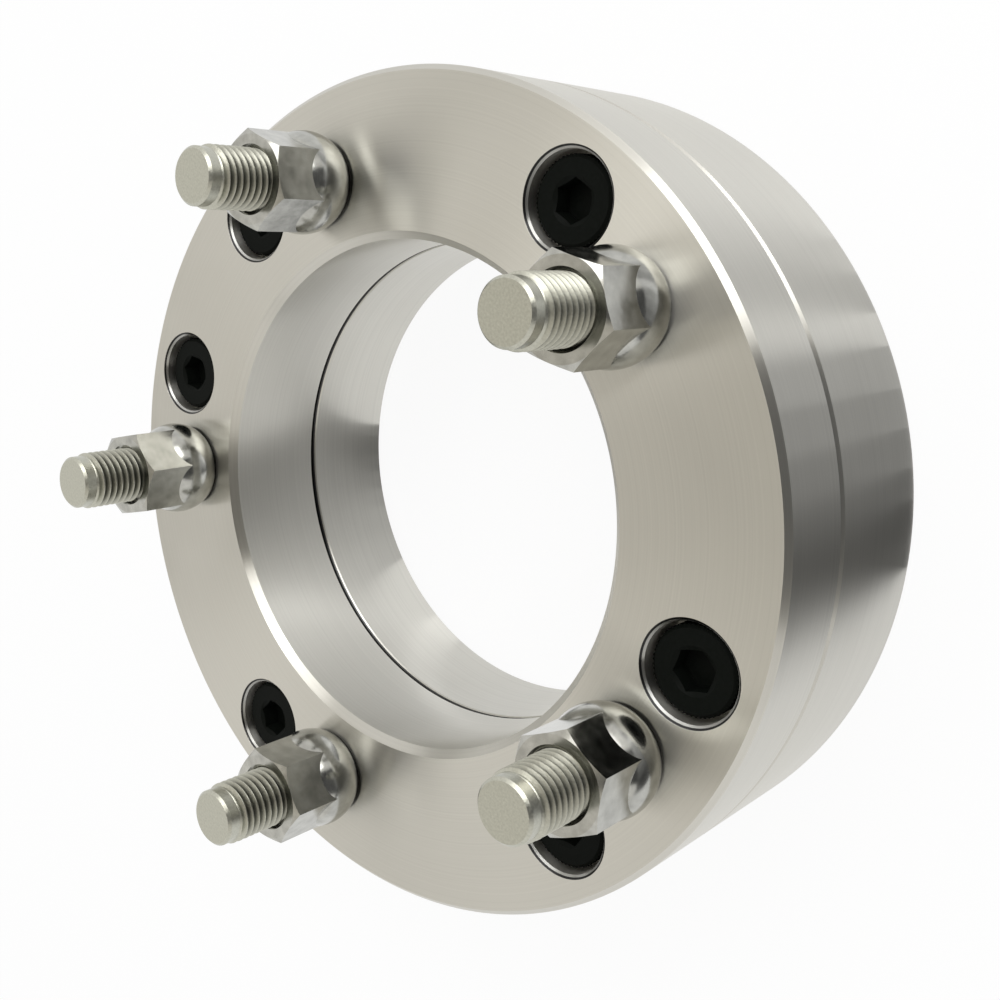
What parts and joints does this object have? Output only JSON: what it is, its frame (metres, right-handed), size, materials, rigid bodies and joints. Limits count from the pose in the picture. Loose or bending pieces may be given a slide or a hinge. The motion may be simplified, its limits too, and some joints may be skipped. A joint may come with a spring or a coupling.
{
  "type": "wheel spacer",
  "caption": "Two-piece round wheel spacer with a large centre bore, clamped by recessed socket-head screws, with wheel studs and open lug nuts on its face.",
  "frame": {"origin": "centre of the hub face, which the part rests on", "axes": "+Z along the bore axis, from the hub face to the wheel face and the studs; +X through the first wheel stud"},
  "size_m": [0.165, 0.165, 0.082],
  "materials": {
    "turned_aluminium": "fine turned",
    "zinc_plated_stud": "bright zinc plated, satin",
    "bright_nut": "bright plated, polished",
    "black_screw": "black oxide, semi-matt"
  },
  "bodies": {
    "root": {"back_plate": "turned_aluminium", "front_plate": "turned_aluminium", "wheel_stud_1": "zinc_plated_stud", "wheel_stud_2": "zinc_plated_stud", "wheel_stud_3": "zinc_plated_stud", "wheel_stud_4": "zinc_plated_stud", "wheel_stud_5": "zinc_plated_stud", "lug_nut_1": "bright_nut", "lug_nut_2": "bright_nut", "lug_nut_3": "bright_nut", "lug_nut_4": "bright_nut", "lug_nut_5": "bright_nut", "clamp_screw_1": "black_screw", "clamp_screw_2": "black_screw", "clamp_screw_3": "black_screw", "clamp_screw_4": "black_screw", "clamp_screw_5": "black_screw", "clamp_screw_6": "black_screw"}
  },
  "joints": []
}
